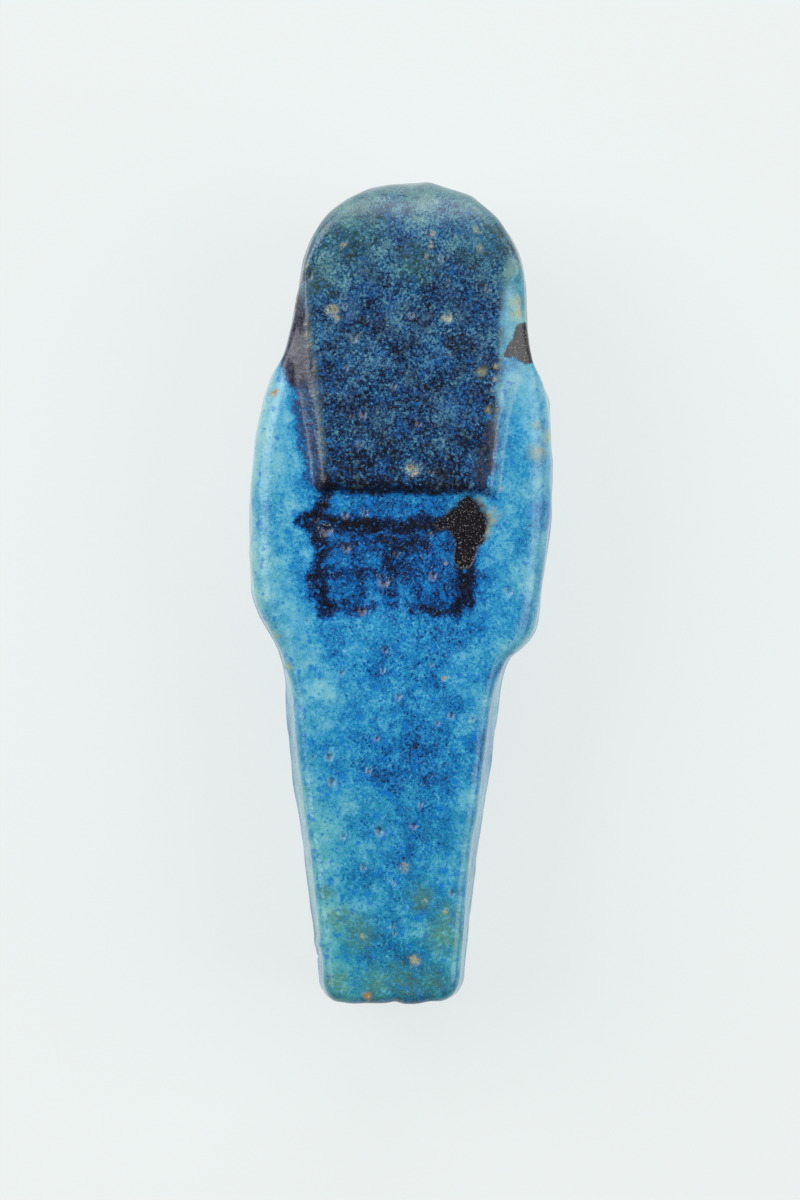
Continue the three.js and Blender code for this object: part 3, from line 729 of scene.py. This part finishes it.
def glaze_fields(points, normals, widest):
    """Where each colour lies, from 0 to 1 at each point of the surface."""
    u, v, w = points[..., 0], points[..., 1], points[..., 2]
    back = w < widest
    side = np.where(u > 0, RIGHT, LEFT)
    half = np.where(side == RIGHT, half_width(RIGHT, v), half_width(LEFT, v))
    share = np.minimum(np.abs(u) / np.maximum(half, TINY), 1)
    wobble = unsteady(points, BRUSH_SHAKES)
    near_back = (1 - step(w + 0.8 * waves(points, 3, 46), 2.5, 5.5)) * back
    over_edge = clamp(1.25 - w / 7 + 0.25 * waves(points, 3, 49)) * back
    faces_back = step(-normals[..., 2], 0.0, 0.3)

    side_paint = (1 - near_back) * step(v, 82, 84)
    wig = painted_wig(points, wobble, back, side, side_paint)
    rim = worn_rim(points, share, near_back)
    bare_side = step(u, 11.4, 12.8) * step(v, 80, 83) * (1 - step(v, 93, 98)) * (1 - side_paint)
    ridge = WIDTH * np.where(side == RIGHT, panel_ridge(RIGHT, v / HEIGHT), panel_ridge(LEFT, v / HEIGHT))
    # A painted highlight along the wig panel's ridges, where the edges catch the light.
    ridge_highlight = bell(np.abs(u) - ridge, 0.35) * step(v, 67, 71) * (1 - step(v, 88, 95)) * near_back

    tone = lerp(tone_off_wig(points, share), tone_on_wig(points, share, rim, bare_side), wig)
    tone = tone + (0.12 + 0.05 * waves(points, 2.2, 64)) * in_seed_bag(u, v) * faces_back
    wash = brushed(wobble, WASHES) * over_edge
    line = np.maximum.reduce([
        brushed(wobble, SEED_BAG) * faces_back,
        brushed(wobble, WIG_LOWER_EDGE) * back,
        brushed(unsteady(points, PEN_SHAKES), front_lines()) * (1 - back) * (1 - wig),
        0.9 * wash,
    ])
    tone = lerp(tone, np.maximum(tone, LINE_TONE), line)

    legs = 1 - step(v, 8, 50)
    feet = 1 - step(v, 2, 12)
    teal = 0.2 + 0.42 * legs + 0.8 * feet + 0.5 * bare_side
    teal = teal + 0.25 * step(share, 0.6, 1) * (1 - step(v, 55, 78))
    olive = spots(points, FOOT_STAINS, STAIN_SOFTNESS)
    olive = olive + CROWN_STAIN_SHARE * spots(points, CROWN_STAINS, STAIN_SOFTNESS)
    return dict(
        tone=tone,
        wig=wig,
        wash=wash,
        brown=brushed(wobble, CRUSTS) * over_edge,
        # Grey-green: paint lying thinly at the crown's rim and on the bare patch, and a painted highlight
        # along the panel's ridges.
        thin_paint_and_ridge_highlight=clamp(np.maximum.reduce([0.65 * rim * wig, 0.5 * bare_side * wig, 0.75 * ridge_highlight])),
        yellow=spots(points, YELLOW_STAINS, STAIN_SOFTNESS) * near_back,
        olive=olive * near_back,
        sand=spots(points, SAND, SPOT_SOFTNESS) * near_back,
        teal=clamp(teal * (1 - wig)),
        dotted=lerp(0.3, 1, legs) * (1 - wig) - wig,
    )


def build_figure():
    """The figurine's mesh in the model's frame, with a value at each point for each field of colour."""
    grid = figure_grid()
    normals = grid_normals(grid)
    widest = widest_depth(grid[..., 1] / HEIGHT) * DEPTH
    back = grid[..., 2] < widest
    core, dark, rim = pit_fields(grid, back)
    chips = spots(grid, CHIPS, SPOT_SOFTNESS) * back
    fields = glaze_fields(grid, normals, widest)
    fields.update(pit=dark, rim=rim, chip=chips)
    places = grid + normals * relief(grid, widest, core, rim, chips)[..., None]
    places[..., 2] = np.minimum(places[..., 2], DEPTH)

    rings, around = grid.shape[:2]
    sole_centre = places[0].mean(axis=0)
    crown_tip = places[-1].mean(axis=0)
    flat = np.vstack([places.reshape(-1, 3), sole_centre, crown_tip])
    corners = np.column_stack([flat[:, 0] + AXIS_OFFSET, flat[:, 1] - HEIGHT / 2, DEPTH - flat[:, 2]]) * MM
    index = np.arange(rings * around).reshape(rings, around)
    after = np.roll(index, -1, axis=1)
    quads = np.stack([index[:-1], after[:-1], after[1:], index[1:]], axis=-1).reshape(-1, 4)
    centre, tip = rings * around, rings * around + 1
    caps = [(centre, int(b), int(a)) for a, b in zip(index[0], after[0])]
    caps += [(tip, int(a), int(b)) for a, b in zip(index[-1], after[-1])]
    mesh = bpy.data.meshes.new("figurine")
    mesh.from_pydata(corners.tolist(), [], quads.tolist() + caps)
    mesh.shade_smooth()
    for name, field in fields.items():
        values = np.concatenate([field.ravel(), [field[0].mean(), field[-1].mean()]])
        attribute = mesh.attributes.new(name, "FLOAT", "POINT")
        attribute.data.foreach_set("value", values.astype(np.float32))
    figurine = bpy.data.objects.new("figurine", mesh)
    bpy.context.scene.collection.objects.link(figurine)
    return figurine


def linear(red, green, blue):
    """A display colour, 0 to 255, as the linear colour that a shader takes."""
    shares = [value / 255 for value in (red, green, blue)]
    return (*(s / 12.92 if s <= 0.04045 else ((s + 0.055) / 1.055) ** 2.4 for s in shares), 1)


MIX_A, MIX_B, MIX_OUT = 6, 7, 2  # the colour sockets of a mix node
NOISE_SHIFT = 3.7  # how far apart two noises lie in the fourth dimension


class Painter:
    """Adds nodes to a material. Sizes are in millimetres."""

    def __init__(self, name):
        self.material = bpy.data.materials.new(name)
        self.material.use_nodes = True
        self.tree = self.material.node_tree
        self.shader = self.tree.nodes["Principled BSDF"]
        self.place = self.add("ShaderNodeTexCoord", {}).outputs["Object"]
        self.seed = 0

    def add(self, kind, inputs, **settings):
        node = self.tree.nodes.new(kind)
        for key, value in settings.items():
            setattr(node, key, value)
        for key, value in inputs.items():
            if isinstance(value, bpy.types.NodeSocket):
                self.tree.links.new(value, node.inputs[key])
            else:
                node.inputs[key].default_value = value
        return node

    def field(self, name):
        return self.add("ShaderNodeAttribute", {}, attribute_name=name).outputs["Fac"]

    def noise(self, size, detail=1.0, roughness=0.5):
        self.seed += 1
        inputs = {"Vector": self.place, "Scale": 1 / (size * MM), "Detail": detail, "Roughness": roughness,
                  "W": NOISE_SHIFT * self.seed}
        return self.add("ShaderNodeTexNoise", inputs, noise_dimensions="4D").outputs["Fac"]

    def step(self, value, low, high):
        """0 at low, 1 at high, and smooth between. Low may be the greater."""
        inputs = {"Value": value, "From Min": low, "From Max": high}
        return self.add("ShaderNodeMapRange", inputs, interpolation_type="SMOOTHSTEP").outputs["Result"]

    def spread(self, value, low, high):
        """A share from 0 to 1, spread over another range."""
        inputs = {"Value": value, "To Min": low, "To Max": high}
        return self.add("ShaderNodeMapRange", inputs).outputs["Result"]

    def ramp(self, value, stops):
        """A colour for each value. The first stop is at 0 and the last at 1."""
        node = self.add("ShaderNodeValToRGB", {"Fac": value})
        elements = node.color_ramp.elements
        for place, colour in stops[1:-1]:
            elements.new(place).color = colour
        elements[0].color = stops[0][1]
        elements[-1].color = stops[-1][1]
        return node.outputs["Color"]

    def math(self, operation, a, b):
        return self.add("ShaderNodeMath", {0: a, 1: b}, operation=operation).outputs["Value"]

    def times(self, a, b):
        return self.math("MULTIPLY", a, b)

    def push(self, value, grain, strength):
        """A value moved up and down by a grain, by up to half of the strength."""
        return self.math("ADD", value, self.times(self.math("SUBTRACT", grain, 0.5), strength))

    def grained(self, field, grain, reach, softness):
        """A field whose soft edges break up along a grain."""
        return self.step(self.times(field, self.push(1, grain, reach)), 0.5 - softness, 0.5 + softness)

    def mix(self, share, a, b, blend="MIX"):
        inputs = {"Factor": share, MIX_A: a, MIX_B: b}
        return self.add("ShaderNodeMix", inputs, data_type="RGBA", blend_type=blend).outputs[MIX_OUT]

    def stained(self, colour, share, strength, stain):
        """A colour under a stain that lies as thick as its share times its strength."""
        return self.mix(self.times(share, strength), colour, stain)

    def bump(self, height, rise, normal=None):
        inputs = {"Height": height, "Distance": rise * MM, "Strength": 1.0}
        if normal is not None:
            inputs["Normal"] = normal
        return self.add("ShaderNodeBump", inputs).outputs["Normal"]


# Depth of the blue, and its colour, off the wig and on it.
GLAZE = [
    (0.0, linear(150, 206, 216)),
    (0.18, linear(108, 186, 216)),
    (0.34, linear(46, 154, 206)),
    (0.5, linear(8, 116, 186)),
    (0.66, linear(0, 78, 150)),
    (0.8, linear(6, 42, 92)),
    (1.0, linear(6, 7, 18)),
]
WIG_GLAZE = [
    (0.0, linear(150, 184, 184)),
    (0.45, linear(94, 144, 156)),
    (0.62, linear(36, 98, 140)),
    (0.76, linear(8, 54, 104)),
    (0.88, linear(6, 28, 58)),
    (1.0, linear(8, 9, 20)),
]
# Light grains in the glaze, which also serve as painted sparkle.
LIGHT_GRAIN_AND_SPARKLE = linear(132, 204, 222)
DOT_BLUE = linear(0, 116, 200)
WASH_DARK = linear(12, 10, 24)
WASH_LIGHT = linear(76, 77, 98)
BROWN_BLACK = linear(12, 8, 16)
AZURE = linear(8, 86, 160)
UMBER = linear(58, 58, 62)
BROWN_GRAIN = linear(134, 130, 132)
BLACK = linear(10, 12, 24)
WORN_BLUE = linear(104, 148, 160)
GREY_GREEN = linear(138, 158, 144)
TEAL_TINT = linear(176, 226, 208)
OLIVE = linear(78, 124, 82)
YELLOW = linear(184, 176, 92)
TAN = linear(178, 132, 62)
SAND_COLOUR = linear(188, 184, 138)
# Pale: the bare body where the glaze has chipped, and painted glints on the pits' rims.
PALE_BODY_AND_GLINT = linear(212, 236, 246)
DOT_SIZES = (0.45, 0.95)
DOT_START = 0.71  # of the noise that makes the dots
DOT_EDGE = 0.09
WIG_ZONES = [(2.6, 0.62, AZURE), (3.4, 0.45, UMBER)]  # size, strength and colour
# Bumps in the glaze, in millimetres.
UNEVEN_BUMP = 0.1
FINE_BUMP = 0.06
GRAIN_BUMP = 0.045
CRUST_BUMP = 0.05


def glaze_tone(p, wig, grain, fine, cloud, patch):
    """Depth of the blue, broken up by noises of four sizes, with dark grains off the wig."""
    tone = p.field("tone")
    strength = p.math("ADD", p.spread(p.step(tone, 0.15, 0.6), 0.2, 0.8), p.times(wig, 0.35))
    for noise, reach in [(grain, strength), (fine, strength), (cloud, 0.5), (patch, 0.56)]:
        tone = p.push(tone, noise, reach)
    dark_grain = p.times(p.step(grain, 0.52, 0.68), p.step(fine, 0.4, 0.6))
    dark_grain = p.times(dark_grain, p.times(p.math("SUBTRACT", 1, wig), strength))
    return p.math("ADD", tone, p.times(dark_grain, 0.4))


def glaze_colour(p, tone, wig, fine, cloud):
    """The glaze: its blue, greener where it lies thinly, with cobalt dots, and zones of colour on the wig.
    """
    colour = p.mix(wig, p.ramp(tone, GLAZE), p.ramp(tone, WIG_GLAZE))
    teal = p.times(p.field("teal"), p.spread(p.step(cloud, 0.3, 0.7), 0.6, 1.4))
    colour = p.mix(teal, colour, TEAL_TINT, "MULTIPLY")
    for size in DOT_SIZES:
        near = p.math("ADD", p.noise(size, detail=0.0), p.times(p.field("dotted"), 0.07))
        colour = p.stained(colour, p.step(near, DOT_START, DOT_START + DOT_EDGE), 0.7, DOT_BLUE)
    for size, strength, stain in WIG_ZONES:
        zone = p.step(p.noise(size, detail=3.0, roughness=0.65), 0.5, 0.62)
        colour = p.stained(colour, p.times(zone, p.times(p.step(fine, 0.62, 0.36), wig)), strength, stain)
    return colour


def with_stains(p, colour, tone, wig, fine):
    """Olive and yellow stains, light specks that are partly grains and partly painted sparkle, the wig's
    worn places, and grey-green where its paint lies thinly, with a painted highlight along the panel's
    ridges.
    """
    stained = p.step(fine, 0.32, 0.56)
    colour = p.stained(colour, p.times(p.field("olive"), stained), 0.68, OLIVE)
    colour = p.stained(colour, p.times(p.field("yellow"), stained), 0.7, YELLOW)
    # Light specks: grains in the glaze, and painted sparkle standing in for the glaze's glints.
    grain_and_sparkle = p.step(p.noise(0.26, detail=1.0, roughness=0.7), 0.6, 0.72)
    colour = p.stained(colour, p.times(grain_and_sparkle, p.step(tone, 0.95, 0.75)), 0.4, LIGHT_GRAIN_AND_SPARKLE)
    worn = p.times(wig, p.step(p.noise(0.55, detail=2.0), 0.55, 0.68))
    colour = p.stained(colour, worn, 0.28, WORN_BLUE)
    # Grey-green where the paint lies thinly, and a painted highlight along the panel's ridges.
    return p.stained(colour, p.times(p.field("thin_paint_and_ridge_highlight"), p.step(fine, 0.34, 0.6)), 0.7, GREY_GREEN)


def with_wash(p, colour, fine):
    """The purplish wash, thinly laid, along the wig's sides."""
    share = p.grained(p.field("wash"), fine, 2.4, softness=0.3)
    wash = p.mix(p.step(fine, 0.4, 0.66), WASH_DARK, WASH_LIGHT)
    return p.stained(colour, share, 0.9, wash)


def with_crust(p, colour, crust):
    """The thick, black-brown paint, with paler grains in it."""
    grains = p.step(p.noise(0.2, roughness=0.7), 0.6, 0.68)
    return p.mix(crust, colour, p.mix(grains, BROWN_BLACK, BROWN_GRAIN))


def with_marks(p, colour, chip, grain):
    """Painted highlights as glints at the pits' rims, their dark middles, sand, and the bare spots where the
    glaze has chipped.
    """
    # Painted highlight: pale glints on the pits' rims.
    colour = p.stained(colour, p.times(p.field("rim"), p.step(grain, 0.54, 0.62)), 0.7, PALE_BODY_AND_GLINT)
    colour = p.stained(colour, p.field("pit"), 0.8, BLACK)
    colour = p.stained(colour, p.times(p.field("sand"), p.step(grain, 0.42, 0.58)), 0.75, SAND_COLOUR)
    return p.mix(chip, colour, p.mix(p.step(grain, 0.55, 0.65), TAN, PALE_BODY_AND_GLINT))


def glaze_normal(p, crust, grain, fine, cloud):
    """Unevenness too fine for the mesh. It is calmer on the crusts, which have a bump of their own."""
    calm = p.spread(crust, 1, 0.2)
    normal = None
    for height, rise in [(cloud, UNEVEN_BUMP), (fine, FINE_BUMP), (grain, GRAIN_BUMP)]:
        normal = p.bump(p.times(height, calm), rise, normal)
    return p.bump(p.times(crust, grain), CRUST_BUMP, normal)


def faience_material():
    """Blue glaze over quartz grains: cobalt in the middle, turquoise at the edges, with dark paint on it."""
    p = Painter("faience")
    wig = p.field("wig")
    chip = p.field("chip")
    grain = p.noise(0.24, detail=2.0, roughness=0.7)
    fine = p.noise(0.42, detail=2.0, roughness=0.6)
    cloud = p.noise(1.3, detail=3.0, roughness=0.6)
    patch = p.noise(4.0, detail=3.0, roughness=0.6)
    crust = p.grained(p.field("brown"), fine, 0.9, softness=0.22)

    tone = glaze_tone(p, wig, grain, fine, cloud, patch)
    colour = glaze_colour(p, tone, wig, fine, cloud)
    colour = with_stains(p, colour, tone, wig, fine)
    colour = with_wash(p, colour, fine)
    colour = with_crust(p, colour, crust)
    colour = with_marks(p, colour, chip, grain)
    roughness = p.math("ADD", p.spread(cloud, 0.14, 0.3), p.times(chip, 0.4))
    p.tree.links.new(colour, p.shader.inputs["Base Color"])
    p.tree.links.new(roughness, p.shader.inputs["Roughness"])
    p.tree.links.new(glaze_normal(p, crust, grain, fine, cloud), p.shader.inputs["Normal"])
    p.shader.inputs["IOR"].default_value = 1.5
    p.shader.inputs["Coat Weight"].default_value = 0.2
    p.shader.inputs["Coat Roughness"].default_value = 0.08
    return p.material


FLOOR_GAP = 0.02 * MM  # keeps the floor and what rests on it from sharing a plane
FLOOR_REACH = 1.5


def build_floor():
    """A pale sheet, lit softly from within like a light table, so that it takes hardly any shadow."""
    mesh = bpy.data.meshes.new("floor")
    signs = [(-1, -1), (1, -1), (1, 1), (-1, 1)]
    corners = [(x * FLOOR_REACH, y * FLOOR_REACH, -FLOOR_GAP) for x, y in signs]
    mesh.from_pydata(corners, [], [(0, 1, 2, 3)])
    floor = bpy.data.objects.new("floor", mesh)
    bpy.context.scene.collection.objects.link(floor)
    p = Painter("pale_floor")
    p.shader.inputs["Base Color"].default_value = linear(112, 115, 115)
    p.shader.inputs["Roughness"].default_value = 0.9
    p.shader.inputs["Specular IOR Level"].default_value = 0.0
    p.shader.inputs["Emission Color"].default_value = linear(250, 255, 254)
    p.shader.inputs["Emission Strength"].default_value = 0.72
    mesh.materials.append(p.material)


# Lamps: name, place in metres, size and power.
LAMPS = [
    ("soft_left", (-0.8, 0.3, 0.75), 0.9, 9.4),
    ("soft_right", (0.85, 0.05, 0.75), 0.9, 6.8),
    ("soft_top", (0.05, 0.8, 0.8), 0.8, 4.4),
]


def add_lights():
    """Three soft lamps round the figurine, and a little light from everywhere."""
    world = bpy.data.worlds.new("studio")
    world.use_nodes = True
    world.node_tree.nodes["Background"].inputs["Color"].default_value = linear(246, 250, 252)
    world.node_tree.nodes["Background"].inputs["Strength"].default_value = 0.1
    bpy.context.scene.world = world
    middle = Vector((0, 0, 0.01))
    for name, place, size, power in LAMPS:
        lamp = bpy.data.lights.new(name, "AREA")
        lamp.size = size
        lamp.energy = power
        lamp_object = bpy.data.objects.new(name, lamp)
        lamp_object.location = place
        lamp_object.rotation_euler = (middle - Vector(place)).to_track_quat("-Z", "Y").to_euler()
        bpy.context.scene.collection.objects.link(lamp_object)


# Camera: straight above, with a long lens.
VIEW_HEIGHT = 154.4  # what the picture's height covers, in millimetres, at the figure's outline
VIEW_MIDDLE = (-0.26, 51.5)  # u and v at the picture's middle
LEAN = math.radians(1.65)  # the figure's head leans this much to the right in the picture
CAMERA_DISTANCE = 0.95
OUTLINE_DEPTH = 0.38  # share of DEPTH at about which the outline is widest
SENSOR = 36


def add_camera():
    """A camera over the figurine, turned by its lean in the picture."""
    data = bpy.data.cameras.new("camera")
    data.sensor_fit = "VERTICAL"
    data.sensor_height = SENSOR
    data.lens = SENSOR * CAMERA_DISTANCE / (VIEW_HEIGHT * MM)
    camera = bpy.data.objects.new("camera", data)
    level = DEPTH * (1 - OUTLINE_DEPTH) * MM
    u, v = VIEW_MIDDLE
    camera.location = ((u + AXIS_OFFSET) * MM, (v - HEIGHT / 2) * MM, level + CAMERA_DISTANCE)
    camera.rotation_euler = (0, 0, LEAN)
    bpy.context.scene.collection.objects.link(camera)
    bpy.context.scene.camera = camera


add_camera()
add_lights()
build_floor()
figurine = build_figure()
figurine.data.materials.append(faience_material())
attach(figurine, "root")
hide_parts("ushabti_figure")

bpy.context.scene.view_settings.view_transform = "Standard"
